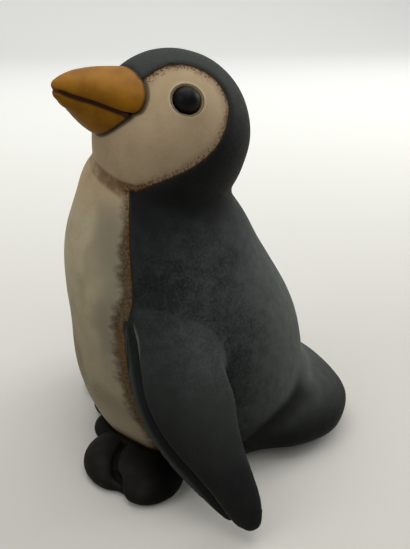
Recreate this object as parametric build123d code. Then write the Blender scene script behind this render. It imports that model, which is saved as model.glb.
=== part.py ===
from build123d import *
from math import cos, radians, sin, sqrt
import os

os.makedirs("parts", exist_ok=True)

# A sitting penguin in cast and luted earthenware. Millimetres, +Z up, beak towards -Y,
# its own left side towards +X. The origin is the centre of the flat base.

# Clay and joints
wall = 5.0            # thickness of the cast walls of torso and head
coat = 0.8            # how far the dark slip coat stands proud of the cream clay
slip = 0.15           # luting slip between two pieces, all round
overrun = 1.0         # how far a cut runs past the face that it opens
reach = 160.0         # longer than the figure, for cuts that go right through

# Torso
torso_radius = 34.4
neck_height = 82.0
neck_radius = 19.6
spine_lean = 12.0     # how far the chest leans forward of the base
neck_tilt = 11.6      # degrees, the neck joint is higher at the throat
neck_cock = 10.0      # degrees, and lower on its left, to which the head leans
vent_radius = 3.0     # hole in the base that let the steam out in the kiln
vent_back = 11.0
neck_centre_lean_share = 0.825
# height, forward lean, girth and turn, as shares of the sizes above
torso_section_shares = (
    (0.000, 0.00, 0.700, 0.00),
    (0.061, 0.03, 0.830, 0.00),
    (0.122, 0.07, 0.905, 0.00),
    (0.195, 0.12, 0.965, 0.00),
    (0.341, 0.25, 1.000, 0.00),
    (0.488, 0.38, 0.970, 0.00),
    (0.634, 0.64, 0.902, 0.12),
    (0.780, 0.86, 0.794, 0.34),
    (0.890, 0.90, 0.688, 0.68),
)

# Head, a ball on a short neck, that looks up and to its left
head_radius = 21.2    # over the dark hood
head_above_neck = 10.9
head_turn = 21.0      # degrees to its left
spigot_wall = 2.2
spigot_height = 5.5
# side view of the face, from the beak over the crown, back and down to the throat:
# shares of head_radius from the centre of the head, backwards and upwards
face_outline_shares = (
    (-0.700, 0.640), (-0.520, 0.764), (-0.212, 0.892), (0.100, 0.858), (0.358, 0.642),
    (0.396, 0.400), (0.311, 0.212), (0.150, 0.000), (-0.155, -0.231), (-0.505, -0.420),
    (-0.760, -0.640),
)

# Edge of the dark mantle on both flanks, seen from the side
mantle_hem = 2.0      # the mantle stops this far above the base
# forwards over torso_radius, height over neck_height
flank_line_shares = (
    (0.140, -0.050), (0.260, 0.040), (0.378, 0.146), (0.500, 0.260), (0.585, 0.345),
    (0.622, 0.440), (0.630, 0.535), (0.608, 0.605), (0.572, 0.660), (0.565, 0.735),
    (0.569, 0.803), (0.549, 0.976), (0.510, 1.140),
)

# Beak
beak_overhang = 10.0  # tip beyond the round of the head
beak_width = 26.4
beak_depth = 18.4
beak_peg_radius = 3.0
beak_peg_length = 4.0
beak_peg_level_share = 0.61
# reach from the centre of the head, level of the widest line, rise above it, fall below it,
# half-width
upper_beak_shares = (
    (0.280, 0.500, 0.425, 0.150, 0.445),
    (0.400, 0.490, 0.462, 0.185, 0.482),
    (0.560, 0.535, 0.435, 0.172, 0.438),
    (0.720, 0.640, 0.330, 0.140, 0.335),
    (0.860, 0.705, 0.228, 0.100, 0.228),
    (0.950, 0.745, 0.130, 0.062, 0.130),
    (1.000, 0.775, 0.040, 0.025, 0.035),
)
lower_beak_shares = (
    (0.420, 0.405, 0.080, 0.310, 0.440),
    (0.530, 0.430, 0.080, 0.340, 0.405),
    (0.625, 0.500, 0.080, 0.435, 0.345),
    (0.720, 0.580, 0.075, 0.450, 0.285),
    (0.860, 0.660, 0.060, 0.290, 0.188),
    (0.945, 0.705, 0.040, 0.145, 0.110),
    (0.988, 0.725, 0.020, 0.040, 0.035),
)

# Eyes
eye_radius = 3.3
eye_sink = 1.0        # centre of the bead under the cream surface
eye_groove = 0.4      # open ring round each bead
eye_from_front = 78.0     # degrees round the head from the beak
eye_rise = 33.9       # degrees above the level of the head's centre

# Flippers
flipper_spread = 19.6     # tip outside the widest part of the torso
flipper_sweep = 20.0      # tip behind the shoulder
shoulder_height = 54.0
shoulder_forward = 13.0
flipper_width = 22.0
flipper_thickness = 6.2
tip_clearance = 1.2       # the tip hangs just above the ground
leaf_thickness = 3.6      # the second sheet inside each flipper
leaf_forward = 3.4        # its edge shows in front of the outer blade
# out from torso_radius, back, down, blade width and thickness, leaf width, as shares of
# the sizes above
flipper_station_shares = (
    (-0.466, -0.20, -0.060, 0.22, 0.34, 0.24),
    (-0.295, -0.02, 0.045, 0.60, 0.70, 0.64),
    (-0.102, 0.155, 0.180, 0.89, 0.96, 0.90),
    (0.132, 0.285, 0.331, 1.03, 1.02, 0.98),
    (0.438, 0.440, 0.511, 0.86, 0.98, 0.84),
    (0.694, 0.658, 0.663, 0.60, 0.92, 0.62),
    (0.887, 0.865, 0.809, 0.435, 0.84, 0.37),
    (0.975, 0.960, 0.900, 0.32, 0.70, 0.18),
    (1.000, 1.010, 0.960, 0.15, 0.36, 0.00),
)

# Feet
foot_gap = 0.5            # between the two inner toes
foot_length = 22.0
toe_width = 20.0
toe_height = 10.5
toe_belly_share = 0.30    # height of a toe's widest line
# place of each toe's middle, outwards from the inner toe over toe_width and forwards over
# torso_radius, its turn outwards in degrees, and its length, width and height in shares
# of the sizes above
toe_shares = (
    (0.000, 0.678, 4.0, 0.82, 0.62, 0.85),
    (0.803, 0.712, 20.0, 1.00, 1.15, 0.91),
    (1.170, 0.509, 74.0, 0.99, 1.00, 0.82),
)

# Tail
tail_reach = 47.6         # end of the tail behind the base centre
tail_width = 53.0
tail_height = 24.4
tail_level_share = 0.33   # height of the widest line over tail_height
# distance back, half-width, rise above the widest line and fall below it
tail_station_shares = (
    (0.200, 0.500, 0.700, 0.420),
    (0.430, 0.500, 0.690, 0.420),
    (0.620, 0.465, 0.650, 0.420),
    (0.760, 0.405, 0.510, 0.410),
    (0.870, 0.315, 0.335, 0.370),
    (0.945, 0.205, 0.190, 0.270),
    (0.985, 0.110, 0.090, 0.140),
    (1.000, 0.030, 0.025, 0.035),
)


def lean_axis(share):
    """Unit vector up the spine, leaning towards the neck joint by a share of its two angles."""
    tilt, cock = radians(share * neck_tilt), radians(share * neck_cock)
    return Vector(sin(cock), sin(tilt) * cos(cock), cos(tilt) * cos(cock))


neck_centre = Vector(0, -neck_centre_lean_share * spine_lean, neck_height)
neck_plane = Plane(origin=neck_centre, x_dir=(1, 0, 0), z_dir=lean_axis(1))
head_centre = neck_centre + lean_axis(1) * head_above_neck
head_place = Pos(head_centre) * Rot(0, 0, head_turn)
face_radius = head_radius - coat
beak_reach = head_radius + beak_overhang
socket_radius = neck_radius - coat - spigot_wall


def torso_form(inset):
    """The torso from base to neck joint, with every girth less by the inset."""
    sections = []
    for height, lean, girth, turn in torso_section_shares:
        middle = (0, -lean * spine_lean, height * neck_height)
        place = Plane(origin=middle, x_dir=(1, 0, 0), z_dir=lean_axis(turn))
        sections.append(place * Circle(girth * torso_radius - inset))
    sections.append(neck_plane * Circle(neck_radius - inset))
    return loft(sections)


def head_form(inset):
    """The ball and its short neck, turned about the axis of the neck joint."""
    waist = (head_radius - inset, head_above_neck)
    foot_edge = (neck_radius - inset, 0)
    crown = (0, head_above_neck + head_radius - inset)
    neck_line = TangentArc(waist, foot_edge, tangent=(0, -1))
    skull = RadiusArc(waist, crown, -(head_radius - inset))
    outline = make_face(neck_line + skull + Line(crown, (0, 0)) + Line((0, 0), foot_edge))
    return neck_plane * revolve(Plane.XZ * outline, axis=Axis.Z)


def ground_slab(height):
    """Everything from deep underground up to the given height."""
    return Pos(0, 0, height - reach / 2) * Box(reach, reach, reach)


def flank_window():
    """Prism through the body, all that lies in front of the edge of the mantle."""
    points = [(-y * torso_radius, z * neck_height) for y, z in flank_line_shares]
    front = Polyline(points[-1], (-reach / 2, points[-1][1]), (-reach / 2, points[0][1]), points[0])
    outline = make_face(Spline(*points) + front)
    return extrude(Plane.YZ * outline, reach / 2, both=True)


def face_window():
    """Prism through the head from cheek to cheek, open towards the beak."""
    points = [(y * head_radius, z * head_radius) for y, z in face_outline_shares]
    edge = Spline(*points)
    front = Polyline(points[-1], (-reach / 2, points[-1][1]), (-reach / 2, points[0][1]), points[0])
    outline = make_face(edge + front)
    return head_place * extrude(Plane.YZ * outline, reach / 2, both=True)


def upright_oval(place_y, level, half_width, rise, fall):
    """Half an ellipse over another, which meet at the widest line, square to the Y axis."""
    above = EllipticalCenterArc((0, level), half_width, rise, 0, arc_size=180)
    below = EllipticalCenterArc((0, level), half_width, fall, 180, arc_size=180)
    return Plane(origin=(0, place_y, 0), x_dir=(1, 0, 0), z_dir=(0, -1, 0)) * make_face(above + below)


def beak_form(shares, grow):
    """Loft of ovals along the way the head looks."""
    sections = []
    for out, level, rise, fall, width in shares:
        size = (width * beak_width + grow, rise * beak_depth + grow, fall * beak_depth + grow)
        sections.append(upright_oval(-out * beak_reach, level * beak_depth, *size))
    return head_place * loft(sections)


def beak_peg(radius, length):
    """Plug that keys the upper beak into the head."""
    level = beak_peg_level_share * beak_depth
    mouth = sqrt(face_radius**2 - level**2)
    start = mouth - length
    plug = Cylinder(radius, length + overrun, align=(Align.CENTER, Align.CENTER, Align.MIN))
    return head_place * Pos(0, -start, level) * Rot(90, 0, 0) * plug


def eye_centre():
    out = face_radius - eye_sink
    around, rise = radians(eye_from_front), radians(eye_rise)
    return Vector(out * cos(rise) * sin(around), -out * cos(rise) * cos(around), out * sin(rise))


def eye_ball(side, grow):
    centre = eye_centre()
    return head_place * Pos(side * centre.X, centre.Y, centre.Z) * Sphere(eye_radius + grow)


def torso_shell():
    clay = torso_form(coat)
    hollow = torso_form(coat + wall) - ground_slab(wall)
    inner = socket_radius - slip - spigot_wall
    ring = Circle(socket_radius - slip) - Circle(inner)
    spigot = neck_plane * Pos(0, 0, -overrun) * extrude(ring, spigot_height + overrun)
    vent = Pos(0, vent_back, 0) * Cylinder(vent_radius, 2 * (wall + overrun))
    return clay - hollow + spigot - vent


def mantle():
    skin = torso_form(0) - torso_form(coat - slip)
    skin -= ground_slab(mantle_hem)
    toes = foot_form(slip)
    return skin - flank_window() - toes - right_side(toes)


def head_shell():
    clay = head_form(coat) - Pos(head_centre) * Sphere(face_radius - wall)
    clay -= neck_plane * Cylinder(socket_radius, 2 * (spigot_height + slip))
    for side in (1, -1):
        clay -= eye_ball(side, eye_groove)
    return clay - beak_peg(beak_peg_radius + slip, beak_peg_length + slip)


def hood():
    skin = head_form(0) - head_form(coat - slip)
    return skin - face_window() - beak_form(upper_beak_shares, slip)


def upper_beak():
    horn = beak_form(upper_beak_shares, 0) - head_form(coat - slip)
    return horn + beak_peg(beak_peg_radius, beak_peg_length)


def lower_beak():
    horn = beak_form(lower_beak_shares, 0) - head_form(coat - slip)
    return horn - beak_form(upper_beak_shares, slip)


def flipper_stations(inward, forward):
    """Planes square to the blade from shoulder to tip, moved forwards and, where it is thick, inwards."""
    drop = shoulder_height - tip_clearance
    path = []
    for out, back, down, *_ in flipper_station_shares:
        path.append(Vector(
            torso_radius + out * flipper_spread,
            back * flipper_sweep - shoulder_forward,
            shoulder_height - down * drop,
        ))
    stations = []
    for i, centre in enumerate(path):
        along = (path[min(i + 1, len(path) - 1)] - path[max(i - 1, 0)]).normalized()
        across = (Vector(0, 1, 0) - along * along.Y).normalized()
        outward = across.cross(along)
        if outward.X < 0:
            outward = outward * -1
        depth = inward * flipper_station_shares[i][4]
        place = centre - outward * depth - across * forward
        stations.append(Plane(origin=place, x_dir=across, z_dir=along))
    return stations


def blade(grow):
    """Outer sheet of the left flipper."""
    sections = []
    for place, shares in zip(flipper_stations(0, 0), flipper_station_shares):
        half_width = shares[3] * flipper_width / 2 + grow
        sections.append(place * Ellipse(half_width, shares[4] * flipper_thickness / 2 + grow))
    return loft(sections)


def right_side(piece):
    return mirror(piece, about=Plane.YZ)


def leaf():
    """Second sheet of the left flipper, behind the first."""
    inward = (flipper_thickness + leaf_thickness) / 2 - overrun
    sections = []
    for place, shares in zip(flipper_stations(inward, leaf_forward), flipper_station_shares):
        if shares[5] > 0:
            half_width = shares[5] * flipper_width / 2
            sections.append(place * Ellipse(half_width, shares[4] * leaf_thickness / 2))
    return loft(sections) - blade(slip)


def foot_form(grow):
    """Three fat toes that run into one another, flat underneath."""
    inner_toe = (foot_gap + toe_shares[0][4] * toe_width) / 2
    toes = []
    for across, forward, turn, length, width, height in toe_shares:
        size = (
            width * toe_width / 2 + grow,
            length * foot_length / 2 + grow,
            (height - toe_belly_share) * toe_height + grow,
        )
        middle = (inner_toe + across * toe_width, -forward * torso_radius)
        place = Pos(*middle, toe_belly_share * toe_height)
        toes.append(place * Rot(0, 0, turn) * scale(Sphere(1), by=size))
    return toes[0] + toes[1] + toes[2] - ground_slab(0)


def tail():
    level = tail_level_share * tail_height
    sections = []
    for back, width, rise, fall in tail_station_shares:
        size = (width * tail_width, rise * tail_height, fall * tail_height)
        sections.append(upright_oval(back * tail_reach, level, *size))
    return loft(sections) - ground_slab(0) - torso_form(-slip)


left_blade, left_leaf, left_foot = blade(0), leaf(), foot_form(0)
outside_mantle, outside_clay = torso_form(-slip), torso_form(coat - slip)
pieces = {
    "torso_shell": torso_shell(),
    "mantle": mantle(),
    "head_shell": head_shell(),
    "hood": hood(),
    "upper_beak": upper_beak(),
    "lower_beak": lower_beak(),
    "left_eye": eye_ball(1, 0),
    "right_eye": eye_ball(-1, 0),
    "left_flipper": left_blade - outside_mantle,
    "right_flipper": right_side(left_blade) - outside_mantle,
    "left_flipper_leaf": left_leaf - outside_mantle,
    "right_flipper_leaf": right_side(left_leaf) - outside_mantle,
    "left_foot": left_foot - outside_clay,
    "right_foot": right_side(left_foot) - outside_clay,
    "tail": tail(),
}
for name, piece in pieces.items():
    export_step(piece, f"parts/{name}.step")
    print(name, round(piece.volume), "mm3", len(piece.solids()), "solid")
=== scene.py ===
import math
import bmesh
import bpy
import numpy as np
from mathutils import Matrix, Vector


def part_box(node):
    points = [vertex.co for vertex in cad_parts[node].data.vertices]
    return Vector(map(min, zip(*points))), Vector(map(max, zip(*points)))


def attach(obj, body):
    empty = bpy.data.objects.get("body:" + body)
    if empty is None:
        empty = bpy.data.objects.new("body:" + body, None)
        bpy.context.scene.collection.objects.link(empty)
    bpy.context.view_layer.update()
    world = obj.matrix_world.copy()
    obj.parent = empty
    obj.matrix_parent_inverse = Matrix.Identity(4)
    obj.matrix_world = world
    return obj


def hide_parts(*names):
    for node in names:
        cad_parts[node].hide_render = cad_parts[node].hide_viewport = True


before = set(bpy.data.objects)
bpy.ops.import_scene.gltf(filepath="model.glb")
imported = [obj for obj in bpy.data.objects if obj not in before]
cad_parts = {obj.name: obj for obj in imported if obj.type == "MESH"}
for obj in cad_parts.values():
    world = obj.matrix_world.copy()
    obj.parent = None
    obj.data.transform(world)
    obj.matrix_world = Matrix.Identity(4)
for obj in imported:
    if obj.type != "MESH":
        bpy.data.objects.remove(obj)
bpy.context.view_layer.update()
print("frame loaded,", len(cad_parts), "pieces")

mm = 0.001
mergeDistance = 0.002 * mm  # a cast piece comes as loose triangles


# small helpers

def linearColour(hexColour):
    parts = [int(hexColour[i:i + 2], 16) / 255 for i in (0, 2, 4)]
    return [c / 12.92 if c <= 0.04045 else ((c + 0.055) / 1.055) ** 2.4 for c in parts] + [1.0]


def addNode(tree, kind, inputs=None, output=None, **settings):
    # inputs are numbers, hex colours or another node's output
    # gives back the named output, or else the first live one
    node = tree.nodes.new(kind)
    for key, value in settings.items():
        setattr(node, key, value)
    for key, value in (inputs or {}).items():
        if isinstance(value, bpy.types.NodeSocket):
            tree.links.new(value, node.inputs[key])
        elif isinstance(value, str) and node.inputs[key].type == "RGBA":
            node.inputs[key].default_value = linearColour(value)
        else:
            node.inputs[key].default_value = value
    if output:
        return node.outputs[output]
    return next((socket for socket in node.outputs if socket.enabled), None)


def shareOf(tree, ranges, sources=None):
    # A range is what it follows, a low and a high end, and the share at each end. It runs smoothly between
    # them, and the shares of all ranges are multiplied. With sources, what it follows is a name in there.
    share = 1.0
    for follows, low, high, atLow, atHigh in ranges:
        value = sources[follows] if sources else follows
        ramp = addNode(tree, "ShaderNodeMapRange", {"Value": value, "From Min": low, "From Max": high,
                       "To Min": atLow, "To Max": atHigh}, interpolation_type="SMOOTHSTEP")
        share = addNode(tree, "ShaderNodeMath", {0: share, 1: ramp}, operation="MULTIPLY")
    return share


def newObject(name, data):
    piece = bpy.data.objects.new(name, data)
    bpy.context.scene.collection.objects.link(piece)
    return piece


def copyOfNodes(name, nodeNames, extra=None):
    # one mesh with copies of some cast pieces, their loose triangles merged
    bm = bmesh.new()
    for nodeName in nodeNames:
        bm.from_mesh(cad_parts[nodeName].data)
    bmesh.ops.remove_doubles(bm, verts=bm.verts, dist=mergeDistance)
    if extra:
        extra(bm)
    mesh = bpy.data.meshes.new(name)
    bm.to_mesh(mesh)
    bm.free()
    mesh.materials.clear()
    return newObject(name, mesh)


def baked(piece):
    # the modifiers' result as a plain mesh
    depsgraph = bpy.context.evaluated_depsgraph_get()
    mesh = bpy.data.meshes.new_from_object(piece.evaluated_get(depsgraph), depsgraph=depsgraph)
    piece.modifiers.clear()
    old = piece.data
    piece.data = mesh
    bpy.data.meshes.remove(old)
    mesh.shade_smooth()
    return piece


def remeshed(piece, voxel):
    remesh = piece.modifiers.new("clay", "REMESH")
    remesh.mode = "VOXEL"
    remesh.voxel_size = voxel
    remesh.use_smooth_shade = True
    return baked(piece)


def readAttribute(mesh, name, kind=np.float32):
    values = np.empty(len(mesh.vertices), kind)
    mesh.attributes[name].data.foreach_get("value", values)
    return values


def readVectors(collection, key):
    values = np.empty(len(collection) * 3, np.float32)
    collection.foreach_get(key, values)
    return values.reshape(-1, 3)


# what the potter's fingers do to the cast shapes

fingerValues = {
    "evenWeight": 0.5,              # each pass of the first smoothing takes this share of the ripple
    "rimStart": 0.1 * mm,           # a rim rises from here, away from what it surrounds
    "rimOn": (0.2 * mm, 1.0 * mm),  # and fades out where it leaves its own piece
    "dentDetail": 2.0,
    "dentRoughness": 0.45,
    "thumbProfile": 1.5,            # above 1, a pressed line fades out gently into the surface
}


def distanceTo(tree, nodeNames):
    # distance from a point to the nearest of these cast pieces
    join = addNode(tree, "GeometryNodeJoinGeometry").node
    for nodeName in nodeNames:
        shape = addNode(tree, "GeometryNodeObjectInfo", {"Object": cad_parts[nodeName]}, "Geometry",
                        transform_space="RELATIVE")
        tree.links.new(shape, join.inputs[0])
    return addNode(tree, "GeometryNodeProximity", {0: join.outputs[0]}, "Distance", target_element="FACES")


def distanceToJoint(tree, first, second):
    # small only where both neighbours are near
    distances = {0: distanceTo(tree, first), 1: distanceTo(tree, second)}
    return addNode(tree, "ShaderNodeMath", distances, operation="MAXIMUM")


def lifted(tree, geometry, height):
    # moves the surface out along its normal, or in where the height is below zero
    normal = addNode(tree, "GeometryNodeInputNormal")
    offset = addNode(tree, "ShaderNodeVectorMath", {0: normal, "Scale": height}, operation="SCALE")
    return addNode(tree, "GeometryNodeSetPosition", {"Geometry": geometry, "Offset": offset})


def softened(tree, geometry, passes, weight):
    # evens the surface out as strongly as the weight says, which is kept as an attribute
    geometry = addNode(tree, "GeometryNodeStoreNamedAttribute",
                       {"Geometry": geometry, "Name": "soften", "Value": weight},
                       data_type="FLOAT", domain="POINT")
    kept = addNode(tree, "GeometryNodeInputNamedAttribute", {"Name": "soften"}, data_type="FLOAT")
    position = addNode(tree, "GeometryNodeInputPosition")
    blur = addNode(tree, "GeometryNodeBlurAttribute",
                   {"Value": position, "Iterations": passes, "Weight": kept}, data_type="FLOAT_VECTOR")
    return addNode(tree, "GeometryNodeSetPosition", {"Geometry": geometry, "Position": blur})


def finishTree(name, values, seams, grooves, rims, measured):
    # seams are worked soft, grooves pressed in and rims raised; distances are kept as attributes
    v = fingerValues
    tree = bpy.data.node_groups.new(name, "GeometryNodeTree")
    for way in ("INPUT", "OUTPUT"):
        tree.interface.new_socket("Geometry", in_out=way, socket_type="NodeSocketGeometry")
    sockets = {}
    for label, value in values.items():
        kind = "NodeSocketInt" if isinstance(value, int) else "NodeSocketFloat"
        sockets[label] = tree.interface.new_socket(label, in_out="INPUT", socket_type=kind).identifier
    given = addNode(tree, "NodeGroupInput").node.outputs

    geometry = softened(tree, given["Geometry"], given["Skin Passes"], v["evenWeight"])
    for label, first, second, crisp in seams:
        ranges = [(distanceToJoint(tree, first, second), 0.0, given[label + " Reach"], 1.0, 0.0)]
        if crisp:  # this neighbour's edge stays sharp
            ranges.append((distanceTo(tree, crisp), given["Crisp Reach"], given["Crisp End"], 0.0, 1.0))
        geometry = softened(tree, geometry, given[label + " Passes"], shareOf(tree, ranges))
    for label, first, second in grooves:
        reach, height = given[label + " Reach"], given[label + " Height"]
        bed = [(distanceToJoint(tree, first, second), 0.0, reach, height, 0.0)]
        geometry = lifted(tree, geometry, shareOf(tree, bed))
    for label, around, on in rims:
        distance = distanceTo(tree, around)
        crest, foot = given[label + " Crest"], given[label + " Foot"]
        ring = [(distance, v["rimStart"], crest, 0.0, given[label + " Height"]),
                (distance, crest, foot, 1.0, 0.0),
                (distanceTo(tree, on), *v["rimOn"], 1.0, 0.0)]
        geometry = lifted(tree, geometry, shareOf(tree, ring))

    # shallow dents all over, as much out as in
    position = addNode(tree, "GeometryNodeInputPosition")
    scale = addNode(tree, "ShaderNodeMath", {0: 1.0, 1: given["Dent Size"]}, operation="DIVIDE")
    dents = addNode(tree, "ShaderNodeTexNoise", {"Vector": position, "Scale": scale,
                    "Detail": v["dentDetail"], "Roughness": v["dentRoughness"]})
    dents = addNode(tree, "ShaderNodeMath", {0: dents, 1: 0.5}, operation="SUBTRACT")
    dents = addNode(tree, "ShaderNodeMath", {0: dents, 1: given["Dent Depth"]}, operation="MULTIPLY")
    geometry = lifted(tree, geometry, dents)

    # how deep each point lies in a hollow, for the brown wash that gathers there and for painted shade in the
    # hollows of the dark coat and the feet
    broad = addNode(tree, "GeometryNodeBlurAttribute",
                    {"Value": position, "Iterations": given["Crease Passes"]}, data_type="FLOAT_VECTOR")
    rise = addNode(tree, "ShaderNodeVectorMath", {0: broad, 1: position}, operation="SUBTRACT")
    normal = addNode(tree, "GeometryNodeInputNormal")
    hollow = addNode(tree, "ShaderNodeVectorMath", {0: rise, 1: normal}, "Value", operation="DOT_PRODUCT")
    geometry = addNode(tree, "GeometryNodeStoreNamedAttribute",
                       {"Geometry": geometry, "Name": "hollow", "Value": hollow},
                       data_type="FLOAT", domain="POINT")
    if "Crease Gain" in values:  # creases are pressed deeper with a modelling tool
        depth = addNode(tree, "GeometryNodeInputNamedAttribute", {"Name": "hollow"}, data_type="FLOAT")
        depth = addNode(tree, "ShaderNodeMath", {0: depth, 1: 0.0}, operation="MAXIMUM")
        depth = addNode(tree, "ShaderNodeMath", {0: depth, 1: given["Crease Gain"]}, operation="MULTIPLY")
        geometry = lifted(tree, geometry, depth)

    kept = [(label, distanceTo(tree, nodeNames), "FLOAT") for label, nodeNames in measured.items()]
    kept.append(("island", addNode(tree, "GeometryNodeInputMeshIsland"), "INT"))
    for label, value, kind in kept:
        geometry = addNode(tree, "GeometryNodeStoreNamedAttribute",
                           {"Geometry": geometry, "Name": label, "Value": value},
                           data_type=kind, domain="POINT")
    addNode(tree, "NodeGroupOutput", {0: geometry})
    return tree, sockets


def finished(piece, values, seams=(), grooves=(), rims=(), measured=None):
    tree, sockets = finishTree(piece.name + "_finish", values, seams, grooves, rims, measured or {})
    modifier = piece.modifiers.new("finish", "NODES")
    modifier.node_group = tree
    for label, value in values.items():
        modifier[sockets[label]] = value
    return baked(piece)


def sideLine(places, side):
    # places in mm on the left side, or their mirror images where side is -1
    return np.array(places) * (side * mm, mm, mm)


def pressed(piece, lines, reach, depth, label=None):
    # pushes the clay in along lines of points, and can keep the distance to them
    mesh = piece.data
    points = readVectors(mesh.vertices, "co")
    normals = readVectors(mesh.vertex_normals, "vector")
    nearest = np.full(len(points), np.inf)
    for line in lines:
        for start, end in zip(line[:-1], line[1:]):
            run = end - start
            along = np.clip((points - start) @ run / (run @ run), 0, 1)
            gaps = points - start - along[:, None] * run
            nearest = np.minimum(nearest, np.linalg.norm(gaps, axis=1))
    push = np.clip(1 - nearest / reach, 0, 1) ** fingerValues["thumbProfile"] * depth
    mesh.vertices.foreach_set("co", (points - normals * push[:, None]).astype(np.float32).ravel())
    mesh.update()
    if label:
        layer = mesh.attributes.new(label, "FLOAT", "POINT")
        layer.data.foreach_set("value", nearest.astype(np.float32))
    return piece


# one skin over the cast body, then cut along the edges of its pieces

skinValues = {
    "voxel": 0.5 * mm,
    "wall": 0.5 * mm,           # thickness of each piece of the skin, inwards
    "plugRadius": 3.6 * mm,     # a plug closes the steam vent from inside
    "plugBottom": 2.5 * mm,
    "plugHeight": 2.0 * mm,
    "plugSides": 24,
    "ventBack": 11 * mm,
    # a valley thumbed in between flank and tail, which rises out at both ends: places on the left in mm
    "valley": ((29, 7, 8), (29.2, 11.1, 11.1), (28.4, 14.6, 13.6), (26, 19.1, 15.6), (22.4, 24, 16.7),
               (19.8, 28.6, 19.4), (17.6, 33.4, 23)),
    "valleyReach": 5.0 * mm,
    "valleyDepth": 1.1 * mm,
    "finish": {
        "Skin Passes": 5,
        "Neck Reach": 3.0 * mm,
        "Neck Passes": 22,
        "Shoulder Reach": 6.0 * mm,
        "Shoulder Passes": 95,
        "Tail Reach": 6.0 * mm,
        "Tail Passes": 110,
        "Leaf Reach": 3.0 * mm,
        "Leaf Passes": 34,
        "Crisp Reach": 1.6 * mm,    # the leaf's edge stays crisp up to here and is softened from the end on
        "Crisp End": 4.8 * mm,
        "Fold Reach": 1.3 * mm,     # the groove between the two sheets of a flipper
        "Fold Height": -1.0 * mm,
        "Socket Crest": 0.75 * mm,  # raised ring round each eye: where it is highest and where it ends
        "Socket Foot": 1.8 * mm,
        "Socket Height": 0.28 * mm,
        "Lip Crest": 1.2 * mm,      # thin raised lip where a flipper meets its leaf
        "Lip Foot": 2.88 * mm,
        "Lip Height": 0.5 * mm,
        "Dent Depth": 0.5 * mm,
        "Dent Size": 16 * mm,
        "Crease Passes": 50,
    },
}
flippers = ["left_flipper", "right_flipper"]
leaves = ["left_flipper_leaf", "right_flipper_leaf"]
feet = ["left_foot", "right_foot"]
eyes = ["left_eye", "right_eye"]
beakNodes = ["upper_beak", "lower_beak"]
creamNodes = ["torso_shell", "head_shell"]
darkNodes = ["mantle", "hood", *flippers, *leaves, "tail"]
skinNodes = creamNodes + darkNodes


def ventPlug(bm):
    v = skinValues
    plug = bmesh.ops.create_cone(bm, cap_ends=True, segments=v["plugSides"], radius1=v["plugRadius"],
                                 radius2=v["plugRadius"], depth=v["plugHeight"])
    middle = Vector((0, v["ventBack"], v["plugBottom"] + v["plugHeight"] / 2))
    bmesh.ops.translate(bm, verts=plug["verts"], vec=middle)


def bodySkin():
    v = skinValues
    skin = remeshed(copyOfNodes("body_skin", skinNodes, ventPlug), v["voxel"])
    print("skin cast,", len(skin.data.polygons), "faces")
    torso = ["torso_shell", "mantle"]
    seams = [
        ("Neck", torso, ["head_shell", "hood"], None),
        ("Shoulder", torso, flippers, leaves),
        ("Tail", torso, ["tail"], None),
        ("Leaf", torso, leaves, None),
    ]
    grooves = [("Fold", flippers, leaves)]
    rims = [("Socket", eyes, ["head_shell"]), ("Lip", leaves, flippers)]
    measured = {
        "toDark": darkNodes,
        "toCream": creamNodes,
        "toBeak": beakNodes,
        "toEye": eyes,
        "toFeet": feet,
        "toFlipper": flippers,
        "toLeaf": leaves,
    }
    for name in skinNodes:
        measured["near_" + name] = [name]
    finished(skin, v["finish"], seams, grooves, rims, measured)
    lines = [sideLine(v["valley"], side) for side in (1, -1)]
    return pressed(skin, lines, v["valleyReach"], v["valleyDepth"], "toValley")


def walled(name, points, normals, faces, values, wall):
    # a patch of the skin with its own thin wall, closed all round
    used, corners = np.unique(faces, return_inverse=True)
    outer = corners.reshape(-1, 4)
    count = len(used)
    edges = np.stack([outer, np.roll(outer, -1, axis=1)], axis=2).reshape(-1, 2).astype(np.int64)
    there, back = edges[:, 0] * count + edges[:, 1], edges[:, 1] * count + edges[:, 0]
    rim = edges[~np.isin(there, back)]
    rimFaces = np.stack([rim[:, 1], rim[:, 0], rim[:, 0] + count, rim[:, 1] + count], axis=1)
    inside = points[used] - normals[used] * wall
    mesh = bpy.data.meshes.new(name)
    mesh.from_pydata(np.concatenate([points[used], inside]).tolist(), [],
                     np.concatenate([outer, outer[:, ::-1] + count, rimFaces]).tolist())
    for key, value in values.items():
        layer = mesh.attributes.new(key, "FLOAT", "POINT")
        layer.data.foreach_set("value", np.tile(value[used], 2))
    mesh.shade_smooth()
    mesh.normals_split_custom_set_from_vertices(np.concatenate([normals[used], -normals[used]]).tolist())
    print(name, len(mesh.polygons), "faces")
    return newObject(name, mesh)


def cutSkin(skin, nodeNames, kept, wall):
    # each face goes to the cast piece that lies nearest
    mesh = skin.data
    distances = np.stack([readAttribute(mesh, "near_" + name) for name in nodeNames])
    quads = np.empty(len(mesh.polygons) * 4, np.int32)
    mesh.polygons.foreach_get("vertices", quads)
    quads = quads.reshape(-1, 4)
    points = readVectors(mesh.vertices, "co")
    normals = readVectors(mesh.vertex_normals, "vector")
    island = readAttribute(mesh, "island", np.int32)
    outside = island[points[:, 2].argmax()]  # the casts' inner walls are islands of their own
    quads = quads[island[quads[:, 0]] == outside]
    owner = distances[:, quads].mean(axis=2).argmin(axis=0)
    values = {name: readAttribute(mesh, name) for name in kept}
    pieces = {}
    for number, name in enumerate(nodeNames):
        pieces[name] = walled("glazed_" + name, points, normals, quads[owner == number], values, wall)
    bpy.data.objects.remove(skin)
    return pieces


# the beak, one form with a groove for the mouth, cut into its two halves

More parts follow.
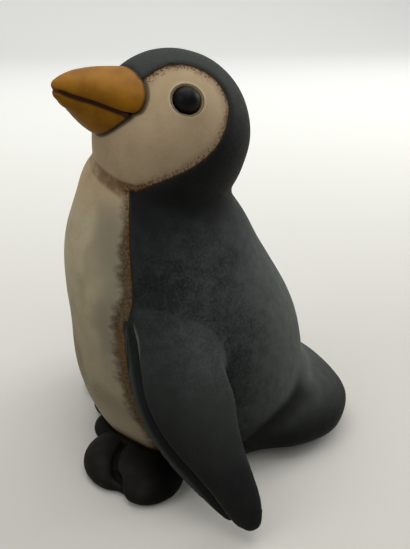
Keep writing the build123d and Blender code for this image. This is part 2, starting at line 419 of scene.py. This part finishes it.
beakValues = {
    "voxel": 0.28 * mm,
    "wall": 0.6 * mm,
    # the tip is rubbed blunt, and both halves reach it
    # of each ball: share of the way from the upper to the lower tip, then radius, back and down in mm
    "tipBalls": ((0.1, 1.6, 1.2, 0.0), (1.0, 1.9, 1.1, 0.35), (1.0, 2.9, 3.3, 0.7)),
    "ballSteps": 3,             # how finely each ball is divided
    "finish": {
        "Skin Passes": 16,
        "Mouth Reach": 1.0 * mm,
        "Mouth Height": -0.65 * mm,
        "Dent Depth": 0.35 * mm,
        "Dent Size": 9 * mm,
        "Crease Passes": 20,
    },
}


def bluntTip(bm):
    middle = Vector([sum(pair) / 2 for pair in zip(*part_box("head_shell"))])
    tips = []
    for name in beakNodes:
        corners = (v.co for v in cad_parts[name].data.vertices)
        tips.append(max(corners, key=lambda point: (point - middle).length))
    for share, radius, back, down in beakValues["tipBalls"]:
        place = tips[0].lerp(tips[1], share)
        place = place + (middle - place).normalized() * back * mm - Vector((0, 0, down * mm))
        ball = bmesh.ops.create_icosphere(bm, subdivisions=beakValues["ballSteps"], radius=radius * mm)
        bmesh.ops.translate(bm, verts=ball["verts"], vec=place)


def beakForm():
    form = remeshed(copyOfNodes("beak_form", beakNodes, bluntTip), beakValues["voxel"])
    measured = {"near_" + name: [name] for name in beakNodes}
    measured["toSkin"] = ["head_shell", "hood"]
    grooves = [("Mouth", ["upper_beak"], ["lower_beak"])]
    return finished(form, beakValues["finish"], grooves=grooves, measured=measured)


# feet and eyes, each a closed lump of its own

footValues = {
    "voxel": 0.4 * mm,
    # the cleft between the toes, pressed in with a tool: places on the left foot in mm
    "cleft": ((36, -26.3, 0), (36, -26.3, 2.5), (34.5, -26.3, 4.7), (32.1, -27, 6.2), (29.3, -27.1, 8),
              (25.7, -26.1, 9.2), (21.9, -23.7, 9.5)),
    "cleftReach": 3.2 * mm,     # to each side
    "cleftDepth": 2.2 * mm,
    "finish": {
        "Skin Passes": 12,
        "Dent Depth": 0.6 * mm,
        "Dent Size": 8 * mm,
        "Crease Passes": 50,
        "Crease Gain": -1.5,        # below zero, because it moves the surface in
    },
}
eyeValues = {
    "voxel": 0.16 * mm,
    "finish": {
        "Skin Passes": 4,
        "Dent Depth": 0.06 * mm,
        "Dent Size": 4 * mm,
        "Crease Passes": 4,
    },
}


def lump(nodeName, values):
    piece = remeshed(copyOfNodes("glazed_" + nodeName, [nodeName]), values["voxel"])
    if "cleft" in values:
        line = sideLine(values["cleft"], -1 if nodeName.startswith("right") else 1)
        pressed(piece, [line], values["cleftReach"], values["cleftDepth"])
    return finished(piece, values["finish"])


# Glazes. Each is a base colour with coats brushed over it. A coat is a colour and its ranges, and a range is
# what it follows, a low and a high end, and how much the coat covers at each. Places and distances are in mm,
# and patterns run from 0 to 1.

glassIor = 1.5


def newMaterial(name):
    material = bpy.data.materials.new(name)
    material.use_nodes = True
    material.node_tree.nodes.clear()
    return material


def glazeSources(tree, values):
    # what a coat can follow: places, patterns, distances kept on the mesh, and what is worked out from them
    metres = addNode(tree, "ShaderNodeTexCoord", None, "Object")
    place = addNode(tree, "ShaderNodeMapping", {"Vector": metres, "Scale": [1 / mm] * 3})
    axes = addNode(tree, "ShaderNodeSeparateXYZ", {0: place}).node.outputs
    sources = {"place": place, "rearward": axes["Y"], "height": axes["Z"]}
    for name, (size, detail, roughness) in values["patterns"].items():
        scaled = addNode(tree, "ShaderNodeMapping", {"Vector": place, "Scale": (np.ones(3) / size).tolist()})
        sources[name] = addNode(tree, "ShaderNodeTexNoise", {"Vector": scaled, "Scale": 1.0, "Detail": detail,
                                "Roughness": roughness})
    for label in values["labels"]:
        distance = addNode(tree, "ShaderNodeAttribute", None, "Fac", attribute_name=label)
        sources[label] = addNode(tree, "ShaderNodeMath", {0: distance, 1: 1 / mm}, operation="MULTIPLY")
    for name, operation, *terms in values["sums"]:
        inputs = {number: sources.get(term, term) for number, term in enumerate(terms)}
        sources[name] = addNode(tree, "ShaderNodeMath", inputs, operation=operation)
    return sources


def coated(tree, colours, coats, sources):
    # the first coat is the base colour and covers everything
    (base,), *others = coats
    colour = colours[base]
    for over, *ranges in others:
        cover = shareOf(tree, ranges, sources)
        colour = addNode(tree, "ShaderNodeMix", {0: cover, 6: colour, 7: colours[over]}, data_type="RGBA")
    return colour


def fired(material, colour, rough, relief, values):
    # glass over clay, with the finest relief as bump
    tree = material.node_tree
    surface = {"Base Color": colour, "Roughness": rough, "IOR": glassIor,
               "Specular IOR Level": values["gloss"]}
    if "bumpHeight" in values:
        surface["Normal"] = addNode(tree, "ShaderNodeBump", {"Strength": values["bumpStrength"],
                                    "Distance": values["bumpHeight"], "Height": relief})
    shader = addNode(tree, "ShaderNodeBsdfPrincipled", surface)
    addNode(tree, "ShaderNodeOutputMaterial", {"Surface": shader})
    return material


onFace = ("height", 70, 82, 0, 1)
offFace = ("height", 70, 82, 1, 0)
onFlanks = (("height", 8, 26, 0, 1), ("height", 60, 80, 1, 0.1), ("near_mantle", 1.5, 11, 1, 0),
            ("rearward", -15, -3, 0.45, 1))
onLeaf = ("toLeaf", 0.2, 0.5, 1, 0)
skinGlazeValues = {
    "colours": {
        "faceCream": "bca583",
        "bellyCream": "bcae8d",
        "bellyGrey": "857e6c",
        # painted light: on the lower hem beside the feet, and as a highlight on the ring round each eye
        "palePaintedLight": "d2c5a8",
        "grime": "9a845f",
        "shade": "5c513d",
        "band": "453219",           # iron oxide brushed on beside the dark coat
        "wash": "6b4e2c",           # the same, left in creases when the rest was wiped off
        "washDark": "4d3519",
        "washDeep": "261a10",
        "rust": "5f3a20",
        "slate": "1a1c1a",
        # painted light: sheen on the back and crown, the flippers' upper parts and the leaf's rim
        "slatePaintedLight": "5a5d58",
        "slateBlue": "565d5b",
        # the deep slate colour, also used for painted shade in the valley, the hollows and the groove
        "slateDeepAndShade": "0e0f0d",
        # painted highlight along the flipper's lip
        "lipHighlight": "666a65",
        "dust": "8f928c",
    },
    # size in mm, detail and roughness of each noise pattern
    "patterns": {
        "brush": (1.4, 4, 0.6),
        "mottle": (5, 4, 0.6),
        "clouds": (20, 2, 0.5),
        "grit": (0.65, 2, 0.7),
        "patches": (3.2, 4, 0.65),
        "strokes": ((5, 5, 2.6), 3, 0.6),  # dry brush strokes run level round the belly
    },
    "speckSpacing": 9,          # mm from one speck of dust to the next
    "labels": ("toDark", "toCream", "toBeak", "toEye", "toFeet", "toFlipper", "toLeaf", "near_mantle",
               "toValley", "hollow"),
    # worked out from these: a name, a Math operation and its terms
    "sums": (
        ("toContact", "MINIMUM", "toBeak", "toFeet"),
        ("toFold", "MAXIMUM", "toLeaf", "toFlipper"),
        # below zero where the dark coat is nearer than the clay, with a brushed edge
        ("toEdge", "SUBTRACT", "toDark", "toCream"),
        ("ragged", "SUBTRACT", "brush", 0.5),
        ("brushedEdge", "MULTIPLY_ADD", "ragged", 0.25, "toEdge"),
        ("grains", "MULTIPLY_ADD", "toDark", -0.0842, "grit"),  # grit that thins out with distance
        ("relief", "MULTIPLY_ADD", "grit", 0.5, "brush"),
    ),
    "darkSide": ("brushedEdge", -0.1, 0.1, 1, 0),
    # how far the wash reaches from the dark coat, in mm: streaky, and narrow at the neck
    "washReach": (("strokes", 0.3, 0.7, 4.68, 7.32), ("height", 56, 76, 1, 0.6)),
    "creamCoats": (
        ("bellyCream",),
        ("faceCream", onFace),
        ("bellyGrey", ("clouds", 0.42, 0.6, 0.1, 0.55), offFace),
        ("grime", ("mottle", 0.4, 0.75, 0, 0.25)),
        ("grime", ("clouds", 0.45, 0.7, 0, 0.3)),
        ("wash", ("grit", 0.58, 0.75, 0, 0.25)),
        # darker low on the belly, partly airbrushed brown and partly painted shade; grime over the brow;
        # painted light on the lower hem beside the feet
        ("shade", ("height", 26, 60, 0.34, 0), ("height", 8, 22, 0.25, 1)),
        ("grime", ("height", 97, 108, 0, 0.35)),
        ("palePaintedLight", ("height", 10, 24, 0.4, 0), ("toFeet", 1.5, 4, 0, 1)),
        # smoky grey beside the dark coat, then the brown band along it, then brown in the creases
        ("bellyGrey", ("toDark", 6, 13, 0.75, 0), offFace, ("height", 24, 42, 0, 1)),
        ("band", ("toBandEnd", 0.45, 1, 1, 0), ("height", 70, 82, 0.95, 0.3), ("grit", 0.35, 0.65, 0.75, 1)),
        ("wash", ("hollow", -0.02, 0.14, 0, 1), ("mottle", 0.3, 0.6, 0.3, 0.9), ("toDark", 3, 22, 1, 0.35)),
        # grains of brown caught beside the coat, and a dark line right at its edge
        ("washDark", ("grains", 0.4, 0.45, 0, 1), ("toDark", 1.9, 3.04, 1, 0),
         ("clouds", 0.35, 0.55, 0.5, 0.95)),
        ("washDeep", ("toDark", 0.65, 1.05, 0.95, 0)),
        # a painted highlight on the raised ring round each eye, with a brown line in it
        ("palePaintedLight", ("toEye", 1.1, 1.8, 0.25, 0)),
        ("grime", ("toEye", 0.5, 0.7, 0.9, 0)),
        ("washDeep", ("toEye", 0.6, 0.8, 0, 1), ("toEye", 0.8, 1.1, 0.85, 0)),
        # rusty round the feet, and dark where feet, beak and eyes sit in the clay
        ("rust", ("toFeet", 0.5, 1.7, 0.6, 0)),
        ("washDeep", ("toContact", 0.15, 0.8, 0.8, 0)),
        ("washDeep", ("toEye", 0.1, 0.3, 0.9, 0)),
    ),
    "slateCoats": (
        ("slateDeepAndShade",),
        ("slate", ("mottle", 0.3, 0.7, 0.4, 1)),
        # bluish mottle on the flanks, fading out along the flippers
        ("slateBlue", *onFlanks, ("patches", 0.35, 0.7, 0, 0.26)),
        ("slateBlue", *onFlanks, ("grit", 0.4, 0.7, 0, 0.34)),
        ("slateBlue", *onFlanks, ("clouds", 0.35, 0.6, 0, 0.15)),
        # painted sheen: the back is paler above the feet, and so is the crown
        ("slatePaintedLight", ("rearward", 2, 26, 0, 1), ("height", 8, 20, 0, 1), ("height", 60, 80, 0.85, 0.1),
         ("near_mantle", 0.8, 5, 1, 0.45), ("patches", 0.3, 0.65, 0.72, 1), ("toFlipper", 2, 9, 0.15, 1)),
        ("slatePaintedLight", ("height", 90, 112, 0, 0.3)),
        # painted shade: the valley by the tail and every hollow are darker
        ("slateDeepAndShade", ("toValley", 0.5, 5.5, 0.85, 0)),
        ("slateDeepAndShade", ("hollow", 0.03, 0.35, 0, 0.85)),
        # painted light on the flippers: paler upwards and towards the rear, so they darken downwards and
        # towards their front edge
        ("slatePaintedLight", ("toFlipper", 0.4, 1.2, 1, 0), ("height", 12, 40, 0, 1),
         ("rearward", -14, 2, 0.08, 0.26)),
        # the leaf is left dark; a painted highlight runs along its rim and along the flipper's lip, and
        # painted shade is darkest in the groove
        ("slateDeepAndShade", onLeaf, ("mottle", 0.3, 0.7, 0.45, 0.65)),
        ("slatePaintedLight", onLeaf, ("toFlipper", 2.6, 3.8, 0, 0.3)),
        ("lipHighlight", ("toLeaf", 0.4, 0.8, 0, 1), ("toLeaf", 1.5, 2.2, 1, 0), ("toFlipper", 0.6, 1.2, 0.8, 0)),
        ("slateDeepAndShade", ("toFold", 0.6, 1.2, 1, 0)),
        # a few specks of dust
        ("dust", ("specks", 0.02, 0.035, 1, 0), ("clouds", 0.55, 0.62, 0, 0.7)),
    ),
    "roughness": ("dark", 0, 1, 0.62, 0.7),
    "roughnessGrit": ("grit", 0.3, 0.7, -0.1, 0.1),
    "gloss": 0.12,              # dry slip, almost no shine
    "bumpStrength": 0.35,
    "bumpHeight": 0.12 * mm,
}


def slipGlaze():
    # Earthenware dipped in matt slip: cream clay glaze on face and belly, slate slip over the rest, both
    # brushed by hand. A brown oxide wash was wiped off and stays in creases and along the edges.
    v = skinGlazeValues
    material = newMaterial("slip_glazed_earthenware")
    tree = material.node_tree
    sources = glazeSources(tree, v)
    sources["specks"] = addNode(tree, "ShaderNodeTexVoronoi",
                                {"Vector": sources["place"], "Scale": 1 / v["speckSpacing"]}, feature="F1")
    bandWidth = shareOf(tree, v["washReach"], sources)
    sources["toBandEnd"] = addNode(tree, "ShaderNodeMath", {0: sources["toDark"], 1: bandWidth},
                                   operation="DIVIDE")
    sources["dark"] = shareOf(tree, [v["darkSide"]], sources)
    cream = coated(tree, v["colours"], v["creamCoats"], sources)
    slate = coated(tree, v["colours"], v["slateCoats"], sources)
    colour = addNode(tree, "ShaderNodeMix", {0: sources["dark"], 6: cream, 7: slate}, data_type="RGBA")
    rough = addNode(tree, "ShaderNodeMath", {0: shareOf(tree, [v["roughnessGrit"]], sources),
                    1: shareOf(tree, [v["roughness"]], sources)}, operation="ADD")
    return fired(material, colour, rough, sources["relief"], v)


trimPatterns = {"brush": (1.4, 4, 0.5), "mottle": (4.5, 3, 0.5)}

# Iron glaze on the beak, fired satin: a warm ochre, yellower where it lies thin, pooled brown beside the head
# and in the mouth.
ochreValues = {
    "colours": {
        "ochre": "996608",
        "ochreDark": "875708",
        "ochreThin": "b0821c",
        "pool": "2f1c0c",
        "mouth": "3a1a0d",
    },
    "patterns": trimPatterns,
    "labels": ("toSkin", "near_upper_beak", "near_lower_beak"),
    "sums": (
        ("toMouth", "MAXIMUM", "near_upper_beak", "near_lower_beak"),
        ("onSplit", "COMPARE", "near_upper_beak", "near_lower_beak", 0.15),
    ),
    "coats": (
        ("ochre",),
        ("ochreDark", ("mottle", 0.35, 0.7, 0, 1)),
        ("ochreThin", ("brush", 0.55, 0.8, 0, 0.35)),
        ("pool", ("toSkin", 0.25, 1.1, 0.8, 0)),
        ("mouth", ("toMouth", 0.3, 0.95, 0.92, 0)),
        ("mouth", ("onSplit", 0, 1, 0, 1), ("brush", 0.3, 0.6, 0.6, 0.9)),
    ),
    "roughness": ("brush", 0.3, 0.7, 0.44, 0.56),
    "gloss": 0.15,
    "bumpStrength": 0.3,
    "bumpHeight": 0.1 * mm,
}
# Brown-black slip on the feet, almost matt and rubbed browner on the toes, with painted shade in the cleft
# and darkest under the belly.
umberValues = {
    "colours": {
        "umber": "1a1916",
        "umberWorn": "25231e",
        "umberPaintedShade": "080706",
    },
    "patterns": trimPatterns,
    "labels": ("hollow",),
    "sums": (),
    "coats": (
        ("umber",),
        ("umberWorn", ("mottle", 0.4, 0.75, 0, 1)),
        ("umberWorn", ("brush", 0.5, 0.8, 0, 0.4)),
        # painted shade in the cleft and hollows, and towards the back of each foot under the belly
        ("umberPaintedShade", ("hollow", 0.02, 0.3, 0, 0.85)),
        ("umberPaintedShade", ("rearward", -23, -13, 0, 0.95)),
    ),
    "roughness": ("brush", 0.3, 0.7, 0.58, 0.7),
    "gloss": 0.06,
    "bumpStrength": 0.3,
    "bumpHeight": 0.1 * mm,
}
# Black glaze run smooth over the eye beads, its shine broad and soft.
blackValues = {
    "colours": {"black": "050505", "brownBlack": "080706"},
    "patterns": trimPatterns,
    "labels": (),
    "sums": (),
    "coats": (
        ("black",),
        ("brownBlack", ("mottle", 0.35, 0.7, 0, 1)),
    ),
    "roughness": ("mottle", 0.3, 0.7, 0.4, 0.46),
    "gloss": 0.14,
}


def trimGlaze(name, values):
    # one maker's brush for beak, feet and eyes
    material = newMaterial(name)
    tree = material.node_tree
    sources = glazeSources(tree, values)
    colour = coated(tree, values["colours"], values["coats"], sources)
    rough = shareOf(tree, [values["roughness"]], sources)
    return fired(material, colour, rough, sources["brush"], values)


# build

def placed(piece, nodeName, material):
    points = readVectors(piece.data.vertices, "co")
    points[:, 2] = np.maximum(points[:, 2], 0)  # rubbed flat on the shelf before firing
    piece.data.vertices.foreach_set("co", points.ravel())
    piece.data.materials.append(material)
    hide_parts(nodeName)
    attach(piece, "root")


pieces = cutSkin(bodySkin(), skinNodes, skinGlazeValues["labels"], skinValues["wall"])
print("skin cut into", len(pieces), "pieces")
skinMaterial = slipGlaze()
for name, piece in pieces.items():
    placed(piece, name, skinMaterial)

beakMaterial = trimGlaze("ochre_iron_glaze", ochreValues)
halves = cutSkin(beakForm(), beakNodes, ochreValues["labels"], beakValues["wall"])
for name, piece in halves.items():
    placed(piece, name, beakMaterial)
footMaterial = trimGlaze("umber_slip", umberValues)
for name in feet:
    placed(lump(name, footValues), name, footMaterial)
eyeMaterial = trimGlaze("black_gloss_glaze", blackValues)
for name in eyes:
    placed(lump(name, eyeValues), name, eyeMaterial)
print("beak, feet and eyes done")


# floor, light and camera

stageValues = {
    "width": 3.0,
    "front": 1.6,
    "wallDistance": 0.9,
    "bend": 0.5,
    "bendSteps": 12,
    "wallTop": 1.6,
    "paperNear": "cdcac0",
    "paperFar": "f4f4ee",
    "paperInShade": "7f7d78",   # what the paper gives back to the figure
    "roughness": 0.9,
    "glow": 0.35,               # keeps the far wall pale behind the lamps, for the camera alone
    "fade": (0.15, -0.75),      # from near to far
}


def mattPaper():
    # uncoated studio paper, without shine, lighter with distance
    v = stageValues
    material = newMaterial("matt_paper")
    tree = material.node_tree
    place = addNode(tree, "ShaderNodeTexCoord", None, "Object")
    across = addNode(tree, "ShaderNodeSeparateXYZ", {0: place}, "X")
    back = shareOf(tree, [(across, *v["fade"], 0.0, 1.0)])
    seen = addNode(tree, "ShaderNodeMix", {0: back, 6: v["paperNear"], 7: v["paperFar"]}, data_type="RGBA")
    # the camera sees the pale paper, also in reflections, and the figure gets the darker light back
    path = addNode(tree, "ShaderNodeLightPath").node.outputs
    eye = path["Is Camera Ray"]
    for ray in ("Is Glossy Ray", "Is Transmission Ray"):
        eye = addNode(tree, "ShaderNodeMath", {0: eye, 1: path[ray]}, operation="MAXIMUM")
    colour = addNode(tree, "ShaderNodeMix", {0: eye, 6: v["paperInShade"], 7: seen}, data_type="RGBA")
    far = addNode(tree, "ShaderNodeMath", {0: back, 1: v["glow"]}, operation="MULTIPLY")
    glow = addNode(tree, "ShaderNodeMath", {0: far, 1: eye}, operation="MULTIPLY")
    shader = addNode(tree, "ShaderNodeBsdfPrincipled", {"Base Color": colour, "Roughness": v["roughness"],
                     "Emission Color": v["paperFar"], "Emission Strength": glow})
    addNode(tree, "ShaderNodeOutputMaterial", {"Surface": shader})
    return material


def sweptPaper():
    # a pale sheet that runs back and curves up behind the figure
    v = stageValues
    profile = [(v["front"], 0.0), (-v["wallDistance"], 0.0)]
    for step in range(1, v["bendSteps"] + 1):
        turn = math.radians(90 * step / v["bendSteps"])
        profile.append((-v["wallDistance"] - v["bend"] * math.sin(turn), v["bend"] * (1 - math.cos(turn))))
    profile.append((profile[-1][0], v["wallTop"]))
    points, faces = [], []
    for x, z in profile:
        points += [(x, -v["width"] / 2, z), (x, v["width"] / 2, z)]
    for i in range(len(profile) - 1):
        faces.append((2 * i, 2 * i + 1, 2 * i + 3, 2 * i + 2))
    mesh = bpy.data.meshes.new("paper")
    mesh.from_pydata(points, [], faces)
    mesh.shade_smooth()
    mesh.materials.append(mattPaper())
    newObject("paper", mesh)


lampValues = {
    # place, size and power of each soft lamp
    "lamps": {
        "window": ((-0.15, 0.0, 0.8), (0.9, 0.9), 4.6),
        "breast": ((0.3, -0.7, 0.5), (0.6, 0.5), 1.5),
        "side": ((0.5, 0.15, 0.85), (0.6, 0.6), 1.5),
        "back": ((-0.35, 0.8, 0.45), (0.5, 0.5), 3.2),
    },
    "aim": (0, 0, 0.05),
    "roomColour": (0.9, 0.93, 1.0, 1),
    "roomStrength": 0.24,
}


def aimed(thing, place, aim):
    thing.location = place
    thing.rotation_euler = (Vector(aim) - Vector(place)).to_track_quat("-Z", "Y").to_euler()


def studio():
    v = lampValues
    for name, (place, size, power) in v["lamps"].items():
        data = bpy.data.lights.new(name, "AREA")
        data.shape = "RECTANGLE"
        data.size, data.size_y = size
        data.energy = power
        aimed(newObject(name, data), place, v["aim"])
    world = bpy.data.worlds.new("room")
    world.use_nodes = True
    background = world.node_tree.nodes["Background"]
    background.inputs[0].default_value = v["roomColour"]
    background.inputs[1].default_value = v["roomStrength"]
    bpy.context.scene.world = world


cameraValues = {
    "place": (190.4 * mm, -26.4 * mm, 135.4 * mm),
    "aim": (0, -3 * mm, 50 * mm),
    "frameLength": 36,       # of the picture's long side, in camera mm
    "focalLength": 47.2,
    "shift": 0.033,          # the figure stands a little left of the middle
    "clipStart": 5 * mm,
}


def addCamera():
    v = cameraValues
    data = bpy.data.cameras.new("camera")
    data.sensor_width = v["frameLength"]
    data.lens = v["focalLength"]
    data.shift_x = v["shift"]
    data.clip_start = v["clipStart"]
    camera = newObject("camera", data)
    aimed(camera, v["place"], v["aim"])
    bpy.context.scene.camera = camera


sweptPaper()
studio()
addCamera()
print("floor, lamps and camera set")
bpy.context.scene.view_settings.view_transform = "Standard"
